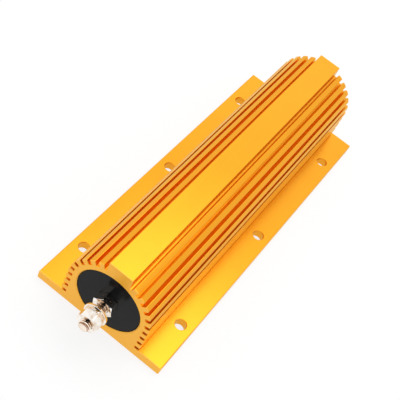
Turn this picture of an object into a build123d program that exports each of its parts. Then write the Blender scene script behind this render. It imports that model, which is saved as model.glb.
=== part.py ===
from build123d import *
import math
import os

# Aluminium housed power resistor, in millimetres.
# X runs along the housing, from the front end at -X to the rear end at +X, and +Z is up.
# The origin is on the mounting plane, under the middle of the housing.

# Housing: a finned extrusion with a flange base, cut square at both ends
body_length = 197.0
base_width = 72.0
base_thickness = 5.0
base_edge_rounding = 0.5
bore_radius = 17.4
bore_chamfer = 0.5
web_under_bore = 3.75
barrel_wall = 2.8

# Cooling fins: radial round the upper half of the barrel, level down its lower sides
fin_depth = 2.8
slot_width = 2.0
first_slot_angle = 8.75
radial_slot_count = 6
side_slot_count = 4
fin_tip_rounding = 0.45

# Land: the flat strip along the top of the barrel
land_width = 12.8
land_rise = 2.35
land_edge_rounding = 0.3

# Six mounting holes in the flange
hole_diameter = 5.8
hole_edge_distance = 6.5
hole_end_distance = 25.5
holes_per_side = 3

# End disc, which closes the bore
disc_thickness = 3.0
disc_recess = 0.6
disc_clearance = 0.1

# Resistance element: a ribbon wound on a ceramic tube between two pressed metal end caps
core_radius = 11.0
core_bore_radius = 5.0
ribbon_width = 6.0
ribbon_thickness = 0.6
ribbon_clearance = 0.1
winding_turns = 4
cap_over_winding = 0.2
cap_end_wall = 2.0
cap_skirt_length = 10.0
cap_to_disc = 6.0

# Terminal hardware, thread size M6
stud_diameter = 6.0
stud_projection = 17.8
stud_tip_chamfer = 0.9
stud_hole_clearance = 0.25
nut_across_flats = 10.0
nut_thickness = 4.7
nut_corner_chamfer = 0.6
inner_nut_turn = 12.0
outer_nut_turn = 40.0
lug_gap = 3.8
flat_washer_diameter = 12.0
flat_washer_thickness = 1.2
lock_washer_diameter = 10.6
lock_washer_thickness = 1.4
lock_washer_gap = 1.4
lock_washer_turn = 75.0
lock_washer_slant = 20.0
washer_hole_clearance = 0.25

# Sizes that follow from those above
half_length = body_length / 2
axis_height = bore_radius + web_under_bore
slot_floor_radius = bore_radius + barrel_wall
fin_tip_radius = slot_floor_radius + fin_depth
land_top = axis_height + fin_tip_radius + land_rise
hole_spacing_across = base_width - 2 * hole_edge_distance
hole_pitch_along = (body_length - 2 * hole_end_distance) / (holes_per_side - 1)
winding_radius = core_radius + ribbon_clearance + ribbon_thickness
cap_radius = winding_radius + cap_over_winding
stud_radius = stud_diameter / 2
washer_hole_radius = stud_radius + washer_hole_clearance

# Places along X at the rear end, counted from the middle of the housing
disc_outer_face = half_length - disc_recess
disc_inner_face = disc_outer_face - disc_thickness
cap_outer_face = disc_inner_face - cap_to_disc
core_end = cap_outer_face - cap_end_wall
cap_rim = core_end - cap_skirt_length
inner_nut_face = disc_outer_face + nut_thickness
flat_washer_face = inner_nut_face + lug_gap
lock_washer_face = flat_washer_face + flat_washer_thickness
outer_nut_face = lock_washer_face + lock_washer_thickness
stud_tip = half_length + stud_projection

# With this alignment a shape stands on Z = 0, centred on the Z axis
STANDING = (Align.CENTER, Align.CENTER, Align.MIN)


def radial_slot_angles():
    """Angles of the radial slots above the level, evenly spaced up to the one that borders the land."""
    half_slot = slot_width / 2
    corner_reach = math.hypot(fin_tip_radius, half_slot)
    corner_angle = math.atan2(half_slot, fin_tip_radius)
    last_slot_angle = math.degrees(math.acos(land_width / 2 / corner_reach) - corner_angle)
    pitch = (last_slot_angle - first_slot_angle) / (radial_slot_count - 1)
    return [first_slot_angle + i * pitch for i in range(radial_slot_count)]


def side_slot_heights():
    """Heights of the level slots, from the one on the flange up to the first radial slot."""
    lowest = base_thickness + slot_width / 2
    mid_slot_radius = slot_floor_radius + fin_depth / 2
    first_radial = axis_height + mid_slot_radius * math.sin(math.radians(first_slot_angle))
    pitch = (first_radial - lowest) / side_slot_count
    return [lowest + i * pitch for i in range(side_slot_count)]


def slot_cutter():
    """One slot seen along X, from its floor out past the fin tips, on the level of the axis."""
    length = 2 * fin_depth
    return Pos(slot_floor_radius + length / 2, 0) * Rectangle(length, slot_width)


def finned_section():
    """Section of the barrel, round above its axis and square below, with every slot cut."""
    circle = Pos(0, axis_height) * Circle(fin_tip_radius)
    upper_box = Pos(0, axis_height + fin_tip_radius / 2) * Rectangle(2 * fin_tip_radius, fin_tip_radius)
    lower_box = Pos(0, axis_height / 2) * Rectangle(2 * fin_tip_radius, axis_height)
    section = (circle & upper_box) + lower_box
    for angle in radial_slot_angles():
        for turn in (angle, 180 - angle):
            section -= Pos(0, axis_height) * Rot(0, 0, turn) * slot_cutter()
    for height in side_slot_heights():
        for turn in (0, 180):
            section -= Pos(0, height) * Rot(0, 0, turn) * slot_cutter()
    return section


def is_fin_tip(edge):
    """True for a sharp lengthwise edge on the fin tips, between the flange and the land."""
    middle = edge.center()
    reach = math.hypot(middle.Y, max(middle.Z - axis_height, 0))
    on_tip = abs(reach - fin_tip_radius) < 0.01
    beside_land = abs(middle.Y) > land_width / 2 + 0.01
    above_flange = middle.Z > base_thickness + 0.01
    at_axis_level = abs(middle.Z - axis_height) < 0.01
    return on_tip and beside_land and above_flange and not at_axis_level


def extruded(section):
    """A section in Y and Z, drawn out over the length of the housing."""
    return extrude(Plane.YZ * section, half_length, both=True)


def finned_body():
    """The barrel with its fins, their tips rounded."""
    body = extruded(finned_section())
    tips = body.edges().filter_by(Axis.X).filter_by(is_fin_tip)
    return fillet(tips, fin_tip_rounding)


def flange():
    """The flat base."""
    section = Pos(0, base_thickness / 2) * Rectangle(base_width, base_thickness)
    return extruded(fillet(section.vertices(), base_edge_rounding))


def land():
    """The strip along the top, with its root inside the barrel."""
    height = land_top - axis_height
    section = Pos(0, axis_height + height / 2) * Rectangle(land_width, height)
    return extruded(fillet(section.vertices().sort_by(Axis.Y)[-2:], land_edge_rounding))


def mounting_holes():
    """Cutters for the six holes through the flange."""
    hole = Pos(0, 0, base_thickness / 2) * Cylinder(hole_diameter / 2, 2 * base_thickness)
    grid = GridLocations(hole_pitch_along, hole_spacing_across, holes_per_side, 2)
    return [place * hole for place in grid]


def along_axis(shape, start):
    """A shape built upwards from Z = 0, laid along the barrel's axis from X = start outwards."""
    return Pos(start, 0, axis_height) * Rot(0, 90, 0) * shape


def rod(radius, length):
    """A cylinder that stands on Z = 0."""
    return Cylinder(radius, length, align=STANDING)


def bore():
    """Cutter for the bore, with a chamfer at each mouth."""
    flare = Cone(bore_radius, bore_radius + bore_chamfer, bore_chamfer, align=STANDING)
    mouth = along_axis(flare, half_length - bore_chamfer)
    straight = along_axis(rod(bore_radius, body_length), -half_length)
    return straight + mouth + mouth.rotate(Axis.Z, 180)


def housing():
    """The whole extrusion, bored and drilled."""
    return finned_body() + flange() + land() - bore() - mounting_holes()


def ceramic_core():
    """The hollow ceramic former."""
    tube = rod(core_radius, 2 * core_end) - rod(core_bore_radius, 2 * core_end)
    return along_axis(tube, -core_end)


def resistance_winding():
    """The ribbon's helix. It is wound past the rims of the end caps and trimmed flush with them."""
    overrun = ribbon_width
    pitch = 2 * cap_rim / winding_turns
    helix = Helix(pitch, 2 * (cap_rim + overrun), winding_radius - ribbon_thickness / 2)
    start = Plane(origin=helix @ 0, z_dir=helix % 0, x_dir=(1, 0, 0))
    ribbon = sweep(start * Rectangle(ribbon_thickness, ribbon_width), path=helix, is_frenet=True)
    between_rims = Pos(0, 0, overrun) * rod(cap_radius, 2 * cap_rim)
    return along_axis(ribbon & between_rims, -cap_rim - overrun)


def end_cap():
    """A pressed cup over the end of the core. Its rim stands a little proud of the winding."""
    cup = rod(cap_radius, cap_skirt_length + cap_end_wall)
    return along_axis(cup - rod(core_radius, cap_skirt_length), cap_rim)


def filler():
    """The potting round the element and the inner ends of the studs, from disc to disc."""
    block = along_axis(rod(bore_radius, 2 * disc_inner_face), -disc_inner_face)
    around_element = along_axis(rod(cap_radius, 2 * cap_outer_face), -cap_outer_face)
    around_studs = along_axis(rod(stud_radius, 2 * disc_inner_face), -disc_inner_face)
    return block - around_element - around_studs


def end_disc():
    """The moulded disc in the mouth of the bore."""
    stud_hole = rod(stud_radius + stud_hole_clearance, disc_thickness)
    disc = rod(bore_radius - disc_clearance, disc_thickness) - stud_hole
    return along_axis(disc, disc_inner_face)


def terminal_stud():
    """The stud, from the face of the end cap that it is welded to, out to its chamfered tip."""
    stud = rod(stud_radius, stud_tip - cap_outer_face)
    stud = chamfer(stud.edges().sort_by(Axis.Z)[-1], stud_tip_chamfer)
    return along_axis(stud, cap_outer_face)


def hexagon_nut(turn):
    """A nut with its corners chamfered on both faces, turned about its axis."""
    hexagon = RegularPolygon(nut_across_flats / 2, 6, major_radius=False)
    blank = extrude(hexagon, nut_thickness)
    corner_radius = nut_across_flats / 2 / math.cos(math.pi / 6)
    envelope = rod(corner_radius, nut_thickness)
    rims = envelope.edges().filter_by(GeomType.CIRCLE)
    envelope = chamfer(rims, nut_corner_chamfer / 2, nut_corner_chamfer)
    return Rot(0, 0, turn) * (blank & envelope) - rod(stud_radius, nut_thickness)


def washer(diameter, thickness):
    """A round ring with a clearance hole for the stud."""
    return rod(diameter / 2, thickness) - rod(washer_hole_radius, thickness)


def lock_washer():
    """A split washer, pressed flat, with a slanting gap."""
    ring = washer(lock_washer_diameter, lock_washer_thickness)
    gap_size = (lock_washer_diameter, lock_washer_gap, 3 * lock_washer_thickness)
    gap = Box(*gap_size, align=(Align.MIN, Align.CENTER, Align.CENTER))
    slanted_gap = Pos(0, 0, lock_washer_thickness / 2) * Rot(lock_washer_slant, 0, 0) * gap
    return Rot(0, 0, lock_washer_turn) * (ring - slanted_gap)


def end_pieces():
    """Every piece of the rear end, by name."""
    return {
        "end_cap": end_cap(),
        "end_disc": end_disc(),
        "terminal_stud": terminal_stud(),
        "inner_nut": along_axis(hexagon_nut(inner_nut_turn), disc_outer_face),
        "flat_washer": along_axis(washer(flat_washer_diameter, flat_washer_thickness), flat_washer_face),
        "lock_washer": along_axis(lock_washer(), lock_washer_face),
        "outer_nut": along_axis(hexagon_nut(outer_nut_turn), outer_nut_face),
    }


os.makedirs("parts", exist_ok=True)
export_step(housing(), "parts/housing.step")
export_step(ceramic_core(), "parts/ceramic_core.step")
export_step(resistance_winding(), "parts/resistance_winding.step")
export_step(filler(), "parts/filler.step")
for name, piece in end_pieces().items():
    export_step(piece, f"parts/rear_{name}.step")
    export_step(piece.rotate(Axis.Z, 180), f"parts/front_{name}.step")
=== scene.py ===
# %% [markdown]
# # Aluminium housed power resistor
# This lesson dresses a wirewound power resistor: a gold-anodised, finned aluminium extrusion with a
# flat base to bolt down, a black disc in each end and a threaded stud terminal in the middle of each disc.
# The solid model comes first, as a frame. It says where every piece lies and how big it is, and the
# pieces made here are fitted into its boxes. The work is done in millimetres, because the smallest
# details are a fifth of one, and each finished mesh is brought to metres at the end.

import math

import bmesh
import bpy
from mathutils import Euler, Matrix, Vector


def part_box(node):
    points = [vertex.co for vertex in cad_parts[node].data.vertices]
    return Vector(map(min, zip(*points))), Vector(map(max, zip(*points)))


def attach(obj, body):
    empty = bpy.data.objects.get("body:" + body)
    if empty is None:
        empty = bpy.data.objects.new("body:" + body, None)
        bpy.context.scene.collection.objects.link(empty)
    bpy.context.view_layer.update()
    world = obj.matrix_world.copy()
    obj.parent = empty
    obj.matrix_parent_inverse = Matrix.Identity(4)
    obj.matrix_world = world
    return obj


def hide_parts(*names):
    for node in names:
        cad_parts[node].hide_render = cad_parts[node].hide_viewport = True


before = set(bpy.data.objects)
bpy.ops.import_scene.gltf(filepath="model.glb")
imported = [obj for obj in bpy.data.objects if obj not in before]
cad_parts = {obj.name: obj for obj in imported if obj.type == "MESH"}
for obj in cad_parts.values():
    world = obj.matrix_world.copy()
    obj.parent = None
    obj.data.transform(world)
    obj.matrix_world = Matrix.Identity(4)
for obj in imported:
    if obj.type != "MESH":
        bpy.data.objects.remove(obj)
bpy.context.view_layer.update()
print("nodes in the frame:", len(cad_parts))

# %% [markdown]
# ## Reading sizes from the frame
# A box from the frame is two opposite corners in metres. Two small helpers turn it into what a fitter
# would measure with a caliper: how far a piece reaches along one axis, and where it starts and ends.
# Everything below is worked out from such readings and from a few sizes of the real object.

# %% Caliper helpers
MM = 0.001
X, Y, Z = range(3)


def span(node, axis):
    """Where a node starts and ends along an axis, in millimetres."""
    low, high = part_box(node)
    return low[axis] / MM, high[axis] / MM


def extent(node, axis):
    """How long a node is along an axis, in millimetres."""
    start, end = span(node, axis)
    return end - start


body_length = extent("housing", X)
base_width = extent("housing", Y)
land_top = span("housing", Z)[1]
disc_radius = extent("rear_end_disc", Z) / 2
axis_height = sum(span("rear_end_disc", Z)) / 2
half_length = body_length / 2
print(f"housing {body_length:.1f} x {base_width:.1f} x {land_top:.1f}, axis at {axis_height:.2f}")

# %% [markdown]
# ## From a bmesh to a finished piece
# Every piece ends the same way. Doubled points are merged, the normals are turned outwards, the mesh is
# brought to metres, and edges that turn by more than 30 degrees are marked sharp, so that a chamfer stays
# crisp. The housing's roundings turn by 30 to 32 degrees from facet to facet, so many of their edges are
# sharp too, but they are so fine that it hardly shows. A weighted normal modifier keeps the broad flats
# flat: without it, a tiny rounding would bend the light over a whole face.

# %% Finishing helpers
SHARP_TURN = math.radians(30)
MERGE_DISTANCE = 1e-4


def new_object(bm, name):
    """A mesh object from a bmesh, with its points where they are."""
    mesh = bpy.data.meshes.new(name)
    bm.to_mesh(mesh)
    bm.free()
    piece = bpy.data.objects.new(name, mesh)
    bpy.context.scene.collection.objects.link(piece)
    return piece


def clean(bm):
    """Merges doubled points and turns the faces outwards."""
    bmesh.ops.remove_doubles(bm, verts=bm.verts, dist=MERGE_DISTANCE)
    bmesh.ops.recalc_face_normals(bm, faces=bm.faces)


def open_edges(mesh):
    """How many edges don't have exactly two faces. A closed piece has none."""
    bm = bmesh.new()
    bm.from_mesh(mesh)
    count = sum(1 for edge in bm.edges if len(edge.link_faces) != 2)
    bm.free()
    return count


def finish_piece(piece, material, node):
    """Brings a piece to metres, shades it and sets it in the place of its node."""
    piece.data.transform(Matrix.Scale(MM, 4))
    piece.data.shade_smooth()
    piece.data.set_sharp_from_angle(angle=SHARP_TURN)
    flats = piece.modifiers.new("flats stay flat", "WEIGHTED_NORMAL")
    flats.keep_sharp = True
    piece.data.materials.append(material)
    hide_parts(node)
    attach(piece, "root")
    print(f"{piece.name}: {len(piece.data.polygons)} faces, {open_edges(piece.data)} open edges")


print("edges are sharp from", round(math.degrees(SHARP_TURN)), "degrees")

# %% [markdown]
# ## Node helpers
# Materials are node trees. These helpers add a node with its settings and inputs in one call, so that a
# material reads as a short list of what is mixed with what. Each input takes either a plain value or the
# output of another node.

# %% Node helpers
def is_socket(value):
    """True for another node's output, and False for a plain number or colour."""
    return isinstance(value, bpy.types.NodeSocket)


def feed(tree, socket, value):
    """Gives an input its value, or links it to another node's output."""
    if is_socket(value):
        tree.links.new(value, socket)
    else:
        socket.default_value = value


def add(tree, kind, settings=None, **inputs):
    """Adds a node with its settings and its inputs by name."""
    node = tree.nodes.new(kind)
    for name, value in (settings or {}).items():
        setattr(node, name, value)
    for name, value in inputs.items():
        feed(tree, node.inputs[name.replace("_", " ")], value)
    return node


def calculate(tree, operation, *values):
    """One sum with one or two values, as a Math node."""
    node = add(tree, "ShaderNodeMath", {"operation": operation})
    for socket, value in zip(node.inputs, values):
        feed(tree, socket, value)
    return node.outputs[0]


def ramp(tree, source, low, high):
    """Spreads the values between low and high of a socket over 0 to 1."""
    node = add(tree, "ShaderNodeMapRange", Value=source, From_Min=low, From_Max=high)
    return node.outputs["Result"]


def blend_colours(tree, factor, first, second):
    """Mixes two colours by a factor socket."""
    node = tree.nodes.new("ShaderNodeMix")
    node.data_type = "RGBA"
    tree.links.new(factor, node.inputs["Factor"])
    for name, value in (("A", first), ("B", second)):
        socket = next(s for s in node.inputs if s.name == name and s.type == "RGBA")
        feed(tree, socket, value if is_socket(value) else (*value, 1.0))
    return next(s for s in node.outputs if s.type == "RGBA")


print("Blender", bpy.app.version_string)

# %% [markdown]
# ## Node groups
# An effect that several finishes share is built once, as a group with named inputs and outputs. Each
# material then places the group with its own values, so a mend in one place reaches them all.

# %% Group helpers
def new_group(name, inputs, outputs):
    """A shader node group with float inputs and outputs, and its two end nodes."""
    group = bpy.data.node_groups.new(name, "ShaderNodeTree")
    for label, value in inputs.items():
        socket = group.interface.new_socket(label, in_out="INPUT", socket_type="NodeSocketFloat")
        socket.default_value = value
    for label in outputs:
        group.interface.new_socket(label, in_out="OUTPUT", socket_type="NodeSocketFloat")
    return group, group.nodes.new("NodeGroupInput"), group.nodes.new("NodeGroupOutput")


def use_group(tree, group, **inputs):
    """Places a group in a material with its own values."""
    return add(tree, "ShaderNodeGroup", {"node_tree": group}, **inputs)


print("groups so far:", len(bpy.data.node_groups))

# %% [markdown]
# ## Drawn lines
# Metal that was pressed or drawn through a die carries fine lines along its length. A noise that is
# stretched along X gives them. It is a group, because the extruded housing, the resistance ribbon and the
# pressed end caps all have such lines, each at its own scale.

# %% Drawn lines group
def make_drawn_lines():
    """Fine lines along X: the stretch says how many times longer than wide they are."""
    group, given, result = new_group("drawn_lines", {"Scale": 900.0, "Stretch": 60.0}, ["Lines"])
    place = add(group, "ShaderNodeTexCoord").outputs["Object"]
    shrink = calculate(group, "DIVIDE", 1.0, given.outputs["Stretch"])
    squeeze = add(group, "ShaderNodeCombineXYZ", X=shrink, Y=1.0, Z=1.0)
    stretched = add(group, "ShaderNodeVectorMath", {"operation": "MULTIPLY"})
    group.links.new(place, stretched.inputs[0])
    group.links.new(squeeze.outputs[0], stretched.inputs[1])
    noise = add(
        group, "ShaderNodeTexNoise", Vector=stretched.outputs[0], Scale=given.outputs["Scale"], Detail=3.0
    )
    group.links.new(noise.outputs["Fac"], result.inputs["Lines"])
    return group


drawn_lines = make_drawn_lines()
print("group:", drawn_lines.name)

# %% [markdown]
# ## Handling marks
# Nothing that has been handled is evenly glossy. Soft smudges come from a broad noise, and hairline scuffs
# from a much finer one that is cut off near its peaks. Each finish uses the two in its own way.

# %% Handling marks group
smudge_range = (0.45, 0.75)
scuff_range = (0.6, 0.72)


def make_handling_marks():
    """Smudges and scuffs, both 0 where the surface is untouched."""
    group, given, result = new_group(
        "handling_marks", {"Smudge Scale": 60.0, "Scuff Scale": 700.0}, ["Smudges", "Scuffs"]
    )
    place = add(group, "ShaderNodeTexCoord").outputs["Object"]
    broad = add(group, "ShaderNodeTexNoise", Vector=place, Scale=given.outputs["Smudge Scale"], Detail=4.0)
    fine = add(group, "ShaderNodeTexNoise", Vector=place, Scale=given.outputs["Scuff Scale"], Detail=6.0)
    group.links.new(ramp(group, broad.outputs["Fac"], *smudge_range), result.inputs["Smudges"])
    group.links.new(ramp(group, fine.outputs["Fac"], *scuff_range), result.inputs["Scuffs"])
    return group


handling_marks = make_handling_marks()
print("group:", handling_marks.name)

# %% [markdown]
# ## A material around one Principled shader
# Each finish below starts from the same plain tree, one Principled shader into the output. Numbers that
# are the same all over a surface are set on the shader itself, and only what changes over the surface is
# linked to it.

# %% Material starter
def new_material(name, **constants):
    """A material with one Principled shader, whose plain values are given by name."""
    material = bpy.data.materials.new(name)
    material.use_nodes = True
    tree = material.node_tree
    shader = tree.nodes["Principled BSDF"]
    for label, value in constants.items():
        shader.inputs[label.replace("_", " ")].default_value = value
    return material, tree, shader


def between(tree, mask, start, end):
    """A value that goes from start to end where a mask goes from 0 to 1."""
    node = add(tree, "ShaderNodeMapRange", Value=mask, To_Min=start, To_Max=end)
    return node.outputs["Result"]


def link_roughness(tree, shader, mask, smooth, rough):
    """Roughness goes from smooth to rough where a mask goes from 0 to 1."""
    tree.links.new(between(tree, mask, smooth, rough), shader.inputs["Roughness"])


def link_bump(tree, shader, height, depth):
    """A bump of a given depth in millimetres from a height that runs from 0 to 1."""
    bump = add(tree, "ShaderNodeBump", Height=height, Distance=depth * MM, Strength=1.0)
    tree.links.new(bump.outputs["Normal"], shader.inputs["Normal"])


print("materials of the solid model:", len(bpy.data.materials))

# %% [markdown]
# ## Saw marks
# The bar is sawn to length before it is anodised. A round blade leaves fine arcs on the two end faces,
# all round one middle that lies far outside the bar. Noise in one dimension, read by the distance from
# that middle, gives such arcs. A second helper tells the ends from the rest by their place along X. It
# takes in a little over half a millimetre, so that the broken edges of the ends are rougher too and get
# the same paler colour. On those edges the paler colour is a painted highlight.

# %% Helpers for the sawn ends
blade_middle = (0.0, 0.09, -0.06)
saw_arc_scale = 2500.0
saw_arc_range = (0.3, 0.7)
end_mask_depth = 0.6


def saw_arcs(tree, place):
    """Fine arcs round the middle of the blade, from 0 to 1."""
    reach = add(tree, "ShaderNodeVectorMath", {"operation": "DISTANCE"})
    tree.links.new(place, reach.inputs[0])
    reach.inputs[1].default_value = blade_middle
    arcs = add(tree, "ShaderNodeTexNoise", {"noise_dimensions": "1D"}, W=reach.outputs["Value"])
    arcs.inputs["Scale"].default_value = saw_arc_scale
    return ramp(tree, arcs.outputs["Fac"], *saw_arc_range)


def sawn_end_and_painted_light(tree, place):
    """1 on the two end faces and their broken edges, and 0 everywhere else."""
    along = add(tree, "ShaderNodeSeparateXYZ", Vector=place).outputs["X"]
    from_middle = calculate(tree, "ABSOLUTE", along)
    return calculate(tree, "GREATER_THAN", from_middle, (half_length - end_mask_depth) * MM)


def blend_values(tree, factor, first, second):
    """Goes from one value socket to another where a factor socket goes from 0 to 1."""
    node = add(tree, "ShaderNodeMix", Factor=factor)
    tree.links.new(first, node.inputs["A"])
    tree.links.new(second, node.inputs["B"])
    return node.outputs["Result"]


print("sawn ends start", round(half_length - end_mask_depth, 1), "mm from the middle")

# %% [markdown]
# ## Gold anodising
# Anodising grows a thin, clear, porous layer on aluminium, and the gold dye sits in its pores. So the
# colour belongs to the metal's reflection, and a faint clear gloss lies over it. In the slots between the
# fins light bounces from wall to wall and takes on more of the dye each time, which is why they glow
# red-orange: a metallic base colour does that by itself. A tint on the specular keeps the gold also where
# it is seen at a flat angle. The die lines change both colour and gloss a little, and broad patches drift
# slightly, as a dye bath leaves them. The sawn ends are rougher, and their colour is painted paler. That
# is painted light: it stands in for brighter light on the ends and a highlight on their broken edges.

# %% Gold anodising
tool_mark_depth = 0.003
bright_line_range = (0.55, 0.8)
satin_roughness = (0.26, 0.33)
sawn_roughness = (0.5, 0.62)


def make_gold_anodising():
    """Satin metal with the dye in its own colour and a thin clear layer above."""
    material, tree, shader = new_material(
        "gold_anodising",
        Metallic=1.0,
        Specular_Tint=(0.9, 0.93, 0.48, 1.0),
        Coat_Weight=0.45,
        Coat_Roughness=0.25,
        Coat_IOR=1.5,
    )
    place = add(tree, "ShaderNodeTexCoord").outputs["Object"]
    lines = use_group(tree, drawn_lines, Scale=2200.0, Stretch=180.0).outputs["Lines"]
    marks = use_group(tree, handling_marks, Smudge_Scale=45.0, Scuff_Scale=500.0)
    even = (0.905, 0.37, 0.004)
    deep = (0.885, 0.35, 0.003)
    pale = (0.905, 0.39, 0.006)
    # Painted light: the ends' paler colour stands in for brighter light on them and a highlight on their
    # edges.
    sawn_and_painted_light = (0.99, 0.52, 0.055)
    drift = blend_colours(tree, marks.outputs["Smudges"], even, deep)
    bright_lines = ramp(tree, lines, *bright_line_range)
    drawn = blend_colours(tree, bright_lines, drift, pale)
    ends = sawn_end_and_painted_light(tree, place)
    tree.links.new(blend_colours(tree, ends, drawn, sawn_and_painted_light), shader.inputs["Base Color"])
    arcs = saw_arcs(tree, place)
    satin = between(tree, lines, *satin_roughness)
    coarse = between(tree, arcs, *sawn_roughness)
    tree.links.new(blend_values(tree, ends, satin, coarse), shader.inputs["Roughness"])
    link_bump(tree, shader, blend_values(tree, ends, lines, arcs), tool_mark_depth)
    return material


gold_anodising = make_gold_anodising()
print("material:", gold_anodising.name)

# %% [markdown]
# ## Black moulding
# The disc is a hard, glossy black moulding. It shows soft reflections of the room and of the terminal in
# front of it, broken a little by smudges.

# %% Black moulding
def make_black_moulding():
    """Hard black plastic, glossy where nobody has touched it."""
    material, tree, shader = new_material("black_moulding", IOR=1.45, Specular_IOR_Level=0.1)
    marks = use_group(tree, handling_marks, Smudge_Scale=110.0, Scuff_Scale=900.0)
    clean_black = (0.006, 0.006, 0.0065)
    greasy_black = (0.009, 0.009, 0.0095)
    colour = blend_colours(tree, marks.outputs["Smudges"], clean_black, greasy_black)
    tree.links.new(colour, shader.inputs["Base Color"])
    link_roughness(tree, shader, marks.outputs["Smudges"], smooth=0.15, rough=0.25)
    link_bump(tree, shader, marks.outputs["Scuffs"], depth=0.002)
    return material


black_moulding = make_black_moulding()
print("material:", black_moulding.name)

# %% [markdown]
# ## Nickel plating
# The nuts, washers and studs are bright nickel plated: a warm, pale metal that mirrors the gold housing
# and the white surroundings. The barrel-plated parts knock against each other, so they have tiny dents
# and scuffs. The thread has the same plating, a little duller, and its grooves are painted dark brown:
# painted shade, which stands in for the grooves mirroring one another. A mask finds the grooves by their
# distance from the axis, between the stud's flat end and the crests.

# %% Nickel plating
dent_depth = 0.02
end_reach = 2.3
root_reach = 2.42
crest_reach = 2.72


def in_groove(tree):
    """1 at the root of the thread, and 0 at its crest, outside it and on the flat end."""
    place = add(tree, "ShaderNodeTexCoord").outputs["Object"]
    parts = add(tree, "ShaderNodeSeparateXYZ", Vector=place).outputs
    height = calculate(tree, "SUBTRACT", parts["Z"], axis_height * MM)
    across = add(tree, "ShaderNodeCombineXYZ", X=parts["Y"], Y=height)
    length = add(tree, "ShaderNodeVectorMath", {"operation": "LENGTH"}, Vector=across.outputs[0])
    reach = length.outputs["Value"]
    deep = ramp(tree, reach, crest_reach * MM, root_reach * MM)
    outside_end = calculate(tree, "GREATER_THAN", reach, end_reach * MM)
    return calculate(tree, "MULTIPLY", deep, outside_end)


def make_nickel(name, bright, smooth, rough):
    """Bright plating with small knocks. It is smooth where clean, and rough where scuffed."""
    material, tree, shader = new_material(name, Metallic=1.0)
    marks = use_group(tree, handling_marks, Smudge_Scale=380.0, Scuff_Scale=1800.0)
    smudged = (0.76, 0.6, 0.46)
    # Painted shade: the roots of the thread get this dark brown in place of real shading.
    painted_groove_shade = (0.38, 0.19, 0.1)
    plating = blend_colours(tree, marks.outputs["Smudges"], bright, smudged)
    colour = blend_colours(tree, in_groove(tree), plating, painted_groove_shade)
    tree.links.new(colour, shader.inputs["Base Color"])
    link_roughness(tree, shader, marks.outputs["Scuffs"], smooth, rough)
    link_bump(tree, shader, marks.outputs["Smudges"], dent_depth)
    return material


plated_hardware = make_nickel("plated_hardware", (0.97, 0.93, 0.87), smooth=0.1, rough=0.3)
plated_thread = make_nickel("plated_thread", (0.98, 0.86, 0.74), smooth=0.16, rough=0.35)
print("materials:", plated_hardware.name, plated_thread.name)

# %% [markdown]
# ## What is hidden inside
# The bore holds the resistance element: a ribbon wound on a ceramic tube between two pressed caps, and
# potting round it. Nobody sees it unless the part is cut open, so these nodes keep their solid shape and
# only get a true finish: chalky ceramic, dull drawn alloy, plain pressed steel and gritty potting.

# %% Hidden finishes
grains_across_patch = 8
scuff_polish = 0.15


def make_matt(name, light, dark, grain, roughness):
    """A dull surface whose colour drifts between two tones, with a fine gritty bump."""
    material, tree, shader = new_material(name)
    marks = use_group(tree, handling_marks, Smudge_Scale=grain / grains_across_patch, Scuff_Scale=grain)
    colour = blend_colours(tree, marks.outputs["Smudges"], light, dark)
    tree.links.new(colour, shader.inputs["Base Color"])
    link_roughness(tree, shader, marks.outputs["Scuffs"], roughness, roughness - scuff_polish)
    link_bump(tree, shader, marks.outputs["Scuffs"], depth=0.02)
    return material


def make_drawn_metal(name, light, dark):
    """Plain metal with the lines of its rolling or drawing."""
    material, tree, shader = new_material(name, Metallic=1.0)
    lines = use_group(tree, drawn_lines, Scale=1500.0, Stretch=25.0).outputs["Lines"]
    tree.links.new(blend_colours(tree, lines, light, dark), shader.inputs["Base Color"])
    link_roughness(tree, shader, lines, smooth=0.3, rough=0.5)
    link_bump(tree, shader, lines, depth=0.005)
    return material


hidden_finishes = {
    "ceramic_core": make_matt(
        "white_ceramic", (0.86, 0.84, 0.78), (0.78, 0.75, 0.68), grain=900.0, roughness=0.85
    ),
    "filler": make_matt("potting", (0.7, 0.67, 0.62), (0.6, 0.57, 0.52), grain=500.0, roughness=0.95),
    "resistance_winding": make_drawn_metal("resistance_alloy", (0.5, 0.47, 0.44), (0.4, 0.38, 0.36)),
    "rear_end_cap": make_drawn_metal("cap_steel", (0.62, 0.61, 0.6), (0.5, 0.5, 0.5)),
}
hidden_finishes["front_end_cap"] = hidden_finishes["rear_end_cap"]
for node, finish in hidden_finishes.items():
    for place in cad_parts[node].material_slots:
        place.material = finish
print("hidden nodes finished:", ", ".join(hidden_finishes))

# %% [markdown]
# ## The section of the extrusion
# A long bar of soft aluminium is pushed through a steel die, and every slot and fin comes out at once. So
# the housing is one flat outline, drawn out along X. The outline is walked from the middle of the land,
# down one side to the middle of the base. Radial slots are cut towards the axis, and the slots in the
# lower sides lie level, because the die there would be too weak for radial ones. Each corner carries the
# radius it will be rounded to, and 0 leaves it sharp.

# %% Sizes of the section
slot_floor_radius = 20.2
fin_tip_radius = 23.0
slot_width = 2.0
land_width = 12.8
base_thickness = 5.0
first_slot_angle = math.radians(8.75)
radial_slot_count = 6
side_slot_count = 4
tip_rounding = 0.45
floor_rounding = 0.35
land_rounding = 0.3
base_rounding = 0.5
TIP_ARC_STEPS = 3

half_slot = slot_width / 2
half_land = land_width / 2
tip_half_angle = math.asin(half_slot / fin_tip_radius)
corner_reach = math.hypot(fin_tip_radius, half_slot)
last_slot_angle = math.acos(half_land / corner_reach) - math.atan2(half_slot, fin_tip_radius)
slot_pitch = (last_slot_angle - first_slot_angle) / (radial_slot_count - 1)
slot_angles = [last_slot_angle - i * slot_pitch for i in range(radial_slot_count)]
print("radial slots at", [round(math.degrees(angle), 1) for angle in slot_angles], "degrees")

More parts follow.
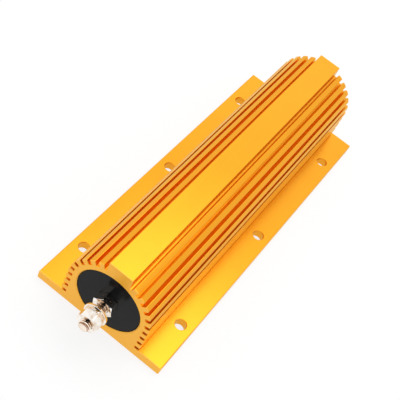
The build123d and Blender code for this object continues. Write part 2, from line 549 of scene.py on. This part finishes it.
# %% [markdown]
# ## Points of the section
# Two kinds of point are enough for the barrel. One lies on the circle of the fin tips, and the other lies
# in a slot, so far out from the axis and so far to the side of the slot's middle plane. Between two slots
# the outline follows the fin tips' circle in a few short steps.

# %% Points of the section
def on_circle(angle):
    """A point of the fin tips' circle, at an angle above the level of the axis."""
    return fin_tip_radius * math.cos(angle), axis_height + fin_tip_radius * math.sin(angle)


def in_slot(angle, along, across):
    """A point of a radial slot: how far out from the axis, and how far above its middle plane."""
    y = along * math.cos(angle) - across * math.sin(angle)
    z = along * math.sin(angle) + across * math.cos(angle)
    return y, axis_height + z


def tip_arc(start, end):
    """The points of the fin tips' circle between two angles, without the two ends."""
    steps = range(1, TIP_ARC_STEPS)
    return [(on_circle(start + (end - start) * i / TIP_ARC_STEPS), 0) for i in steps]


print("widest point of the barrel:", on_circle(0))

# %% [markdown]
# ## Walking the outline
# A radial slot has four corners: in from the fin tip, across its floor and out again. The slot beside the
# land is bordered by the land's upright flank, so it has one corner fewer. Below the level of the axis
# the slots lie level, and the last corners are those of the flange.

# %% Outline of one side
def land_corners():
    """The land's top, its flank and where that meets the floor of the slot beside it."""
    angle = slot_angles[0]
    flank_foot = (slot_floor_radius - half_land * math.cos(angle)) / math.sin(angle)
    return [
        ((half_land, land_top), land_rounding),
        ((half_land, axis_height + flank_foot), 0),
    ]


def radial_corners():
    """Every radial slot and fin tip, from the land down to the level of the axis."""
    mouth = fin_tip_radius * math.cos(tip_half_angle)
    corners = []
    for i, angle in enumerate(slot_angles):
        if i > 0:
            corners.append((in_slot(angle, mouth, half_slot), tip_rounding))
            corners.append((in_slot(angle, slot_floor_radius, half_slot), floor_rounding))
        corners.append((in_slot(angle, slot_floor_radius, -half_slot), floor_rounding))
        corners.append((in_slot(angle, mouth, -half_slot), tip_rounding))
        fin_end = slot_angles[i + 1] + tip_half_angle if i + 1 < len(slot_angles) else 0
        corners.extend(tip_arc(angle - tip_half_angle, fin_end))
    corners.append((on_circle(0), 0))
    return corners


def side_corners():
    """The level slots down the lower side. The lowest has the flange for its bottom."""
    lowest = base_thickness + half_slot
    middle_of_slot = (slot_floor_radius + fin_tip_radius) / 2
    first_radial = axis_height + middle_of_slot * math.sin(first_slot_angle)
    pitch = (first_radial - lowest) / side_slot_count
    corners = []
    for i in reversed(range(side_slot_count)):
        height = lowest + i * pitch
        corners.append(((fin_tip_radius, height + half_slot), tip_rounding))
        corners.append(((slot_floor_radius, height + half_slot), floor_rounding))
        corners.append(((slot_floor_radius, height - half_slot), floor_rounding))
        if i > 0:
            corners.append(((fin_tip_radius, height - half_slot), tip_rounding))
    return corners


def base_corners():
    """The edge of the flange."""
    half_base = base_width / 2
    return [((half_base, base_thickness), base_rounding), ((half_base, 0), base_rounding)]


one_side = land_corners() + radial_corners() + side_corners() + base_corners()
print("corners on one side:", len(one_side))

# %% [markdown]
# ## Drawing out the bar
# Both sides together make one face. Its corners are rounded while it is still flat, which is quick and
# exact, and then the face is extruded. The bar is cut a little short at first: an inset that also moves
# outwards brings each end to its full length with the small broken edge that a saw cut is given.

# %% The bar
end_edge = 0.2
ROUNDING_STEPS = 3
FACES_ALONG = 0.99


def round_corners(bm, corners, radius):
    """Rounds the corners of a flat face."""
    bmesh.ops.bevel(
        bm,
        geom=corners,
        offset=radius,
        offset_type="OFFSET",
        segments=ROUNDING_STEPS,
        profile=0.5,
        affect="VERTICES",
        clamp_overlap=True,
        material=-1,
    )


def section_face(bm):
    """The outline as a face across X, with its corners rounded."""
    other_side = [((-y, z), radius) for (y, z), radius in reversed(one_side)]
    start = -half_length + end_edge
    groups = {}
    outline = []
    for (y, z), radius in one_side + other_side:
        corner = bm.verts.new((start, y, z))
        outline.append(corner)
        groups.setdefault(radius, []).append(corner)
    bm.faces.new(outline)
    for radius, corners in groups.items():
        if radius > 0:
            round_corners(bm, corners, radius)
    return bm.faces[:]


def extruded_bar():
    """The bar at its full length, without its holes."""
    bm = bmesh.new()
    made = bmesh.ops.extrude_face_region(bm, geom=section_face(bm))
    moved = [v for v in made["geom"] if isinstance(v, bmesh.types.BMVert)]
    bmesh.ops.translate(bm, vec=(body_length - 2 * end_edge, 0, 0), verts=moved)
    clean(bm)
    ends = [face for face in bm.faces if abs(face.normal.x) > FACES_ALONG]
    bmesh.ops.inset_region(bm, faces=ends, thickness=end_edge, depth=end_edge, use_even_offset=True)
    return bm


bar = extruded_bar()
print("bar:", len(bar.faces), "faces")

# %% [markdown]
# ## Marking out the holes
# A fitter scribes lines round each hole before drilling. Here the lines have a use of their own: they
# split the long flat faces close to the holes, so that the hole's rim later joins near corners. Without
# them the faces would be split into slivers as long as the bar, which shade badly.

# %% Marking out
hole_radius = 2.9
hole_edge = 0.2
hole_from_side = 6.5
hole_from_end = 25.5
scribe_distance = 5.5


def hole_places():
    """The middles of the six mounting holes."""
    across = base_width / 2 - hole_from_side
    along = half_length - hole_from_end
    return [(x, y, 0) for x in (-along, 0, along) for y in (-across, across)]


def scribe(bm, axis, places):
    """Splits the skin along planes that stand across an axis."""
    for place in places:
        middle, normal = Vector(), Vector()
        middle[axis], normal[axis] = place, 1
        skin = bm.verts[:] + bm.edges[:] + bm.faces[:]
        bmesh.ops.bisect_plane(bm, geom=skin, plane_co=middle, plane_no=normal)


holes_along = sorted({x for x, y, z in hole_places()})
inner_line = base_width / 2 - hole_from_side - scribe_distance
scribe(bar, X, [x + side * scribe_distance for x in holes_along for side in (-1, 1)])
scribe(bar, Y, [-inner_line, inner_line])
bar = new_object(bar, "housing_piece")
print("marked out:", len(bar.data.polygons), "faces,", open_edges(bar.data), "open edges")

# %% [markdown]
# ## Turned shapes
# Bores, discs, nuts and washers are all round, as if they came off a lathe. A profile of a few corners is
# spun a full turn round Z, and its doubled points are merged. A second helper lays such a shape along the
# axis of the bore, where nearly all of them belong.

# %% Lathe helpers
def turned(profile, steps, closed):
    """Turns a profile of (radius, height) corners round Z. A closed profile joins its own start."""
    bm = bmesh.new()
    corners = [bm.verts.new((radius, 0, height)) for radius, height in profile]
    following = corners[1:] + corners[:1] if closed else corners[1:]
    lines = [bm.edges.new(pair) for pair in zip(corners, following)]
    bmesh.ops.spin(
        bm,
        geom=corners + lines,
        cent=(0, 0, 0),
        axis=(0, 0, 1),
        angle=2 * math.pi,
        steps=steps,
        use_merge=True,
    )
    clean(bm)
    return bm


def along_axis(start):
    """Lays a shape that stands on Z = 0 along the bore, from X = start outwards."""
    return Matrix.Translation((start, 0, axis_height)) @ Matrix.Rotation(math.pi / 2, 4, "Y")


print("axis of the bore at", round(axis_height, 2), "mm")

# %% [markdown]
# ## Boring and drilling
# The bore and the six mounting holes are cut after the bar is sawn off, so they are cut here too, with a
# Boolean. A cutter is turned from a profile that starts and ends on its own axis. It flares at both
# mouths, so that one cut makes the hole and its broken edges together.

# %% Cutters
bore_radius = 17.4
bore_edge = 0.5
BORE_STEPS = 144
HOLE_STEPS = 48


def hole_cutter(radius, length, edge, steps):
    """A drill of a given radius that flares past both faces of a wall as thick as its length."""
    past = 1.0
    wide = radius + edge + past
    profile = [(0, -past), (wide, -past), (radius, edge), (radius, length - edge)]
    profile += [(wide, length + past), (0, length + past)]
    return turned(profile, steps, closed=False)


def cut(piece, cutter):
    """Takes the cutter's shape out of the piece."""
    modifier = piece.modifiers.new("cut", "BOOLEAN")
    modifier.object = cutter
    modifier.operation = "DIFFERENCE"
    modifier.solver = "EXACT"
    bpy.context.view_layer.update()
    whole = piece.evaluated_get(bpy.context.evaluated_depsgraph_get())
    piece.modifiers.clear()
    result = bpy.data.meshes.new_from_object(whole)
    piece.data = result
    bpy.data.objects.remove(cutter)


def add_turned(cutters, bm, place):
    """Adds a turned bmesh to a bigger one, at a place."""
    bm.transform(place)
    mesh = bpy.data.meshes.new("cutter")
    bm.to_mesh(mesh)
    bm.free()
    cutters.from_mesh(mesh)
    bpy.data.meshes.remove(mesh)


def housing_cutters():
    """The bore and the six holes as one cutter."""
    cutters = bmesh.new()
    bore = hole_cutter(bore_radius, body_length, bore_edge, BORE_STEPS)
    add_turned(cutters, bore, along_axis(-half_length))
    for middle in hole_places():
        drill = hole_cutter(hole_radius, base_thickness, hole_edge, HOLE_STEPS)
        add_turned(cutters, drill, Matrix.Translation(middle))
    return new_object(cutters, "cutters")


cut(bar, housing_cutters())
finish_piece(bar, gold_anodising, "housing")

# %% [markdown]
# ## Front and rear
# Both ends of the resistor carry the same pieces. Each is made once for the rear end, and a copy turned
# half round about the upright axis serves the front.

# %% Pairs
HALF_TURN = Matrix.Rotation(math.pi, 4, "Z")


def make_pair(bm, kind, material):
    """A rear piece and its front twin, from a bmesh that lies in its place at the rear."""
    rear = new_object(bm, f"rear_{kind}_piece")
    front = rear.copy()
    front.data = rear.data.copy()
    front.name = f"front_{kind}_piece"
    front.data.transform(HALF_TURN)
    bpy.context.scene.collection.objects.link(front)
    for end, piece in (("rear", rear), ("front", front)):
        finish_piece(piece, material, f"{end}_{kind}")


def ring_profile(inner, outer, thickness, edge):
    """The section of a flat ring with all four edges broken."""
    return [
        (inner, edge),
        (inner + edge, 0),
        (outer - edge, 0),
        (outer, edge),
        (outer, thickness - edge),
        (outer - edge, thickness),
        (inner + edge, thickness),
        (inner, thickness - edge),
    ]


print("nodes at the rear:", sum(1 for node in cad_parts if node.startswith("rear_")))

# %% [markdown]
# ## The end disc
# The disc is turned like a thick washer. It sits a little below the end of the housing, and its rim and
# hole have small broken edges that catch the light.

# %% End discs
disc_hole_radius = 3.25
disc_edge = 0.25
disc_start, disc_end = span("rear_end_disc", X)
disc_profile = ring_profile(disc_hole_radius, disc_radius, disc_end - disc_start, disc_edge)
disc = turned(disc_profile, BORE_STEPS, closed=True)
disc.transform(along_axis(disc_start))
make_pair(disc, "end_disc", black_moulding)

# %% [markdown]
# ## One pitch of thread
# A screw thread is one small profile, swept round the axis while it moves forward by one pitch per turn.
# The profile is exactly one pitch long, from root to root. It is six tenths of a pitch deep, with a
# narrow flat on its crest, much as a metric thread is.

# %% Thread profile
thread_pitch = 1.0
thread_depth = 0.6
stud_radius = extent("rear_terminal_stud", Z) / 2
stud_start, stud_end = span("rear_terminal_stud", X)
stud_length = stud_end - stud_start


def thread_profile():
    """One pitch of the thread: root, rising flank, crest and falling flank."""
    root = stud_radius - thread_depth
    corners = (
        (0.0, root),
        (0.13, root),
        (0.43, stud_radius),
        (0.57, stud_radius),
        (0.87, root),
        (1.0, root),
    )
    return [(radius, share * thread_pitch) for share, radius in corners]


print(f"stud {2 * stud_radius:.1f} across and {stud_length:.1f} long, {thread_depth} deep thread")

# %% [markdown]
# ## The threaded stud
# Spin moves its profile forward when it is given a step. Each turn ends where the next begins, so merging
# the doubled points makes one closed skin. Two planes cut the rod to length, and the points past the
# start of the tip's cone are drawn in to it.

# %% Terminal studs
tip_cone = 0.9
THREAD_STEPS = 28


def cut_square(bm, height, keep_below):
    """Cuts a threaded rod off at a height and closes it with a flat face."""
    made = bmesh.ops.bisect_plane(
        bm,
        geom=bm.verts[:] + bm.edges[:] + bm.faces[:],
        plane_co=(0, 0, height),
        plane_no=(0, 0, 1),
        clear_outer=keep_below,
        clear_inner=not keep_below,
    )
    rim = [e for e in made["geom_cut"] if isinstance(e, bmesh.types.BMEdge)]
    bmesh.ops.contextual_create(bm, geom=rim)


def threaded_rod():
    """The stud with its thread and its coned tip, standing on Z = 0."""
    bm = bmesh.new()
    turns = math.ceil(stud_length / thread_pitch) + 2
    corners = [bm.verts.new((radius, 0, height - thread_pitch)) for radius, height in thread_profile()]
    lines = [bm.edges.new(pair) for pair in zip(corners, corners[1:])]
    bmesh.ops.spin(
        bm,
        geom=corners + lines,
        cent=(0, 0, 0),
        axis=(0, 0, 1),
        dvec=(0, 0, thread_pitch / THREAD_STEPS),
        angle=2 * math.pi * turns,
        steps=THREAD_STEPS * turns,
        use_merge=False,
    )
    bmesh.ops.remove_doubles(bm, verts=bm.verts, dist=MERGE_DISTANCE)
    cut_square(bm, 0, keep_below=False)
    cut_square(bm, stud_length, keep_below=True)
    cone_start = stud_length - tip_cone
    for corner in bm.verts:
        radius = math.hypot(corner.co.x, corner.co.y)
        most = stud_radius - max(corner.co.z - cone_start, 0)
        if radius > most:
            corner.co.x *= most / radius
            corner.co.y *= most / radius
    clean(bm)
    return bm


stud = threaded_rod()
stud.transform(along_axis(stud_start))
make_pair(stud, "terminal_stud", plated_thread)

# %% [markdown]
# ## From round to hexagon
# A nut starts as a round blank. Each outer point is pushed out to the hexagon's flats, and lowered by the
# cone that breaks the corners, which gives the curved line where cone meets flat.

# %% Hexagon helpers
across_flats = 10.0
corner_cone = math.tan(math.radians(30))
HAIR = 0.01


def hexagon_reach(angle):
    """How far the hexagon reaches from its middle in a direction, with a corner at angle 0."""
    from_flat = (angle % (math.pi / 3)) - math.pi / 6
    return across_flats / 2 / math.cos(from_flat)


def to_hexagon(bm, thickness, cone_radius):
    """Pushes the outer points out to the flats and down along the corner cone."""
    for corner in bm.verts:
        radius = math.hypot(corner.co.x, corner.co.y)
        if radius > cone_radius + HAIR:
            reach = hexagon_reach(math.atan2(corner.co.y, corner.co.x))
            drop = (reach - cone_radius) * corner_cone
            corner.co.x *= reach / radius
            corner.co.y *= reach / radius
            corner.co.z = drop if corner.co.z < thickness / 2 else thickness - drop


def upright_corner(edge):
    """True for the six upright edges at the corners of the hexagon."""
    top, bottom = (v.co for v in edge.verts)
    upright = (top.xy - bottom.xy).length < MERGE_DISTANCE
    full_reach = hexagon_reach(0)
    return upright and math.hypot(top.x, top.y) > full_reach - HAIR


print(f"{across_flats:.1f} across flats, {2 * hexagon_reach(0):.1f} across corners")

# %% [markdown]
# ## Hexagon nuts
# The blank has a countersink at both faces, as a tapped hole does, and its rim lies just inside the
# flats. After the push outwards the six upright corners are rounded a little. The nuts are turned by
# different angles, as they are when each is tightened by itself.

# %% Hexagon nuts
countersink = 0.3
cone_share = 0.985
blank_edge = 0.1
corner_rounding = 0.18
inner_nut_turn = math.radians(12)
outer_nut_turn = math.radians(40)
STEPS_PER_FLAT = 16


def hexagon_nut(turn, node):
    """A nut that fills its node's place along the axis, turned about the axis."""
    start, end = span(node, X)
    thickness = end - start
    cone_radius = across_flats / 2 * cone_share
    profile = [
        (stud_radius, countersink),
        (stud_radius + countersink, 0),
        (cone_radius, 0),
        (across_flats / 2, blank_edge),
        (across_flats / 2, thickness - blank_edge),
        (cone_radius, thickness),
        (stud_radius + countersink, thickness),
        (stud_radius, thickness - countersink),
    ]
    bm = turned(profile, 6 * STEPS_PER_FLAT, closed=True)
    to_hexagon(bm, thickness, cone_radius)
    bmesh.ops.bevel(
        bm,
        geom=[e for e in bm.edges if upright_corner(e)],
        offset=corner_rounding,
        offset_type="OFFSET",
        segments=2,
        profile=0.5,
        affect="EDGES",
        clamp_overlap=True,
        material=-1,
    )
    clean(bm)
    bm.transform(along_axis(start) @ Matrix.Rotation(turn, 4, "Z"))
    return bm


make_pair(hexagon_nut(inner_nut_turn, "rear_inner_nut"), "inner_nut", plated_hardware)
make_pair(hexagon_nut(outer_nut_turn, "rear_outer_nut"), "outer_nut", plated_hardware)

# %% [markdown]
# ## Flat washers
# The flat washer is a turned ring with a little play round the stud. Its edges are broken only slightly,
# because a stamped washer is tumbled and not machined.

# %% Flat washers
washer_hole_radius = 3.25
washer_edge = 0.12
WASHER_STEPS = 96
washer_start, washer_end = span("rear_flat_washer", X)
washer_radius = extent("rear_flat_washer", Z) / 2
washer_profile = ring_profile(washer_hole_radius, washer_radius, washer_end - washer_start, washer_edge)
washer = turned(washer_profile, WASHER_STEPS, closed=True)
washer.transform(along_axis(washer_start))
make_pair(washer, "flat_washer", plated_hardware)

# %% [markdown]
# ## Lock washers
# The lock washer is a ring of square wire with a gap. Its section is spun most of the way round, the two
# open ends are closed, and a twist that grows with height slants the gap, as in a real one.

# %% Lock washers
lock_gap = 1.4
lock_turn = math.radians(75)
lock_slant = math.radians(20)
LOCK_STEPS = 88
lock_radius = extent("rear_lock_washer", Z) / 2
lock_start, lock_end = span("rear_lock_washer", X)


def lock_washer():
    """A square-wire ring with a slanting gap."""
    thickness = lock_end - lock_start
    middle_radius = (lock_radius + washer_hole_radius) / 2
    gap_angle = lock_gap / middle_radius
    bm = bmesh.new()
    profile = ring_profile(washer_hole_radius, lock_radius, thickness, washer_edge)
    corners = [bm.verts.new((radius, 0, height)) for radius, height in profile]
    lines = [bm.edges.new(pair) for pair in zip(corners, corners[1:] + corners[:1])]
    bmesh.ops.spin(
        bm,
        geom=corners + lines,
        cent=(0, 0, 0),
        axis=(0, 0, 1),
        angle=2 * math.pi - gap_angle,
        steps=LOCK_STEPS,
        use_merge=False,
    )
    bmesh.ops.holes_fill(bm, edges=[e for e in bm.edges if len(e.link_faces) == 1], sides=len(profile))
    for corner in bm.verts:
        lean = (corner.co.z - thickness / 2) * math.tan(lock_slant) / middle_radius
        corner.co = Matrix.Rotation(lean, 3, "Z") @ corner.co
    clean(bm)
    bm.transform(along_axis(lock_start) @ Matrix.Rotation(lock_turn + gap_angle / 2, 4, "Z"))
    return bm


make_pair(lock_washer(), "lock_washer", plated_hardware)

# %% [markdown]
# ## White paper
# The object lies on white paper. Seen directly or in a reflection the paper is mostly an even white, and
# a part of it still takes light, so that the object keeps a soft shadow under it. From below it is clear,
# so that the underside can be looked at too.

# %% White paper
shadow_share = 0.2
paper_tone = (0.96, 0.955, 0.95, 1.0)
PURE_WHITE = (1.0, 1.0, 1.0, 1.0)


def seen_directly(tree):
    """1 for rays from the camera, from a gloss or through glass, and 0 for the rest."""
    path = add(tree, "ShaderNodeLightPath").outputs
    camera_or_gloss = calculate(tree, "MAXIMUM", path["Is Camera Ray"], path["Is Glossy Ray"])
    return calculate(tree, "MAXIMUM", camera_or_gloss, path["Is Transmission Ray"])


def mix_shaders(tree, factor, first, second):
    """The first shader where a factor socket is 0, and the second where it is 1."""
    node = add(tree, "ShaderNodeMixShader", Fac=factor)
    tree.links.new(first.outputs[0], node.inputs[1])
    tree.links.new(second.outputs[0], node.inputs[2])
    return node


def empty_material(name):
    """A material whose tree has no nodes yet."""
    material = bpy.data.materials.new(name)
    material.use_nodes = True
    material.node_tree.nodes.clear()
    return material


def make_floor_paper():
    """White paper that shines evenly and still takes a shadow. From below it is clear."""
    material = empty_material("floor_paper")
    tree = material.node_tree
    paper = add(tree, "ShaderNodeBsdfDiffuse", Color=paper_tone)
    white = add(tree, "ShaderNodeEmission", Color=PURE_WHITE, Strength=1.0)
    white_share = calculate(tree, "MULTIPLY", seen_directly(tree), 1 - shadow_share)
    from_above = mix_shaders(tree, white_share, paper, white)
    clear = add(tree, "ShaderNodeBsdfTransparent")
    from_below = add(tree, "ShaderNodeNewGeometry").outputs["Backfacing"]
    one_sided = mix_shaders(tree, from_below, from_above, clear)
    add(tree, "ShaderNodeOutputMaterial", Surface=one_sided.outputs[0])
    return material


floor_paper = make_floor_paper()
print("material:", floor_paper.name)

# %% [markdown]
# ## Floor
# A plain pale floor runs out of sight. It lies a hair below the base, because two faces in one plane
# flicker. It isn't part of the object.

# %% Floor
floor_size = 6.0
floor_gap = 0.05


def make_floor():
    """One large square, a hair below the base."""
    bm = bmesh.new()
    lowered = Matrix.Translation((0, 0, -floor_gap * MM))
    bmesh.ops.create_grid(bm, x_segments=1, y_segments=1, size=floor_size / 2, matrix=lowered)
    floor = new_object(bm, "floor")
    floor.data.materials.append(floor_paper)


make_floor()
print("floor:", floor_size, "m square")

# %% [markdown]
# ## Light
# The room is white all round, which is what a satin metal needs to look bright and even. Two soft panels
# hang above the object. The near one's reflection makes the near end of the land and of the right-hand
# flange paler, and the far one is weak and only lifts the fins a little.

# %% Room and soft panels
room_light = 0.9
panel_height = 0.6


def make_room():
    """A white world that is fully white when it is looked at, and a little dimmer as a light."""
    world = bpy.data.worlds.new("white room")
    world.use_nodes = True
    tree = world.node_tree
    tree.nodes.clear()
    strength = between(tree, seen_directly(tree), room_light, 1.0)
    white = add(tree, "ShaderNodeBackground", Color=PURE_WHITE, Strength=strength)
    add(tree, "ShaderNodeOutputWorld", Surface=white.outputs[0])
    bpy.context.scene.world = world


def make_panel(name, middle, size, brightness):
    """A rectangular soft light that faces straight down. Its power follows from size and brightness."""
    lamp = bpy.data.lights.new(name, "AREA")
    lamp.shape = "RECTANGLE"
    lamp.size, lamp.size_y = size
    lamp.energy = brightness * math.pi * size[0] * size[1]
    panel = bpy.data.objects.new(name, lamp)
    panel.location = (*middle, panel_height)
    bpy.context.scene.collection.objects.link(panel)
    print(f"{name}: {lamp.energy:.2f} W")


make_room()
make_panel("near panel", middle=(0.13, -0.06), size=(0.46, 0.44), brightness=1.75)
make_panel("far panel", middle=(0.85, 0.25), size=(0.5, 0.5), brightness=0.35)

# %% [markdown]
# ## A dark card
# Shiny metal in a white room looks flat, so photographers hold a small dark card near it. Here one hangs
# over the front terminal, out of the camera's sight, and shows in the terminal's mirror image in the
# black disc. The first reflection sees straight through it, so that it doesn't darken the gold.

# %% Dark card
card_size = 0.09
card_distance = 0.08
card_side = Vector((-0.64, 0.08, 0.76)).normalized()
card_tone = (0.02, 0.02, 0.02, 1.0)
past_first_surface = 1.5


def make_card_face():
    """Dark in a second reflection, and clear for all light before it."""
    material = empty_material("dark_card")
    tree = material.node_tree
    clear = add(tree, "ShaderNodeBsdfTransparent")
    dark = add(tree, "ShaderNodeBsdfDiffuse", Color=card_tone)
    surfaces_met = add(tree, "ShaderNodeLightPath").outputs["Ray Depth"]
    second = calculate(tree, "GREATER_THAN", surfaces_met, past_first_surface)
    card_face = mix_shaders(tree, second, clear, dark)
    add(tree, "ShaderNodeOutputMaterial", Surface=card_face.outputs[0])
    return material


def make_dark_card():
    """A small card that faces the front terminal. The camera doesn't see it and it gives no shadow."""
    bm = bmesh.new()
    bmesh.ops.create_grid(bm, x_segments=1, y_segments=1, size=card_size / 2)
    low, high = (Vector(corner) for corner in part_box("front_terminal_stud"))
    middle = (low + high) / 2 + card_side * card_distance
    facing = (-card_side).to_track_quat("Z", "Y").to_matrix().to_4x4()
    bm.transform(Matrix.Translation(middle) @ facing)
    card = new_object(bm, "dark_card")
    card.data.materials.append(make_card_face())
    card.visible_camera = False
    card.visible_diffuse = False
    card.visible_shadow = False
    card.visible_transmission = False


make_dark_card()
print("dark card:", card_size, "m square")

# %% [markdown]
# ## Camera
# The camera looks down on the near end from the left, with a long lens, and is rolled so that the object
# runs across the picture from corner to corner. Its place and turn were worked out from the corners,
# hole centres and disc of the object in the photograph.

# %% Camera
camera_place = Vector((-0.3055, -0.0608, 0.3593))
camera_azimuth = math.radians(-77.54)
camera_elevation = math.radians(49.06)
camera_roll = math.radians(28.22)
lens_length = 80.94
sensor_width = 36.0


def make_camera():
    """A camera that is turned by azimuth and elevation, and then rolled about its own line of sight."""
    lens = bpy.data.cameras.new("camera")
    lens.lens = lens_length
    lens.sensor_width = sensor_width
    camera = bpy.data.objects.new("camera", lens)
    aim = Euler((math.pi / 2 - camera_elevation, 0, camera_azimuth)).to_matrix()
    turned_view = aim @ Matrix.Rotation(camera_roll, 3, "Z")
    camera.matrix_world = Matrix.Translation(camera_place) @ turned_view.to_4x4()
    bpy.context.scene.collection.objects.link(camera)
    bpy.context.scene.camera = camera


make_camera()
bpy.context.scene.view_settings.view_transform = "Standard"
print("camera at", tuple(round(value, 3) for value in camera_place))
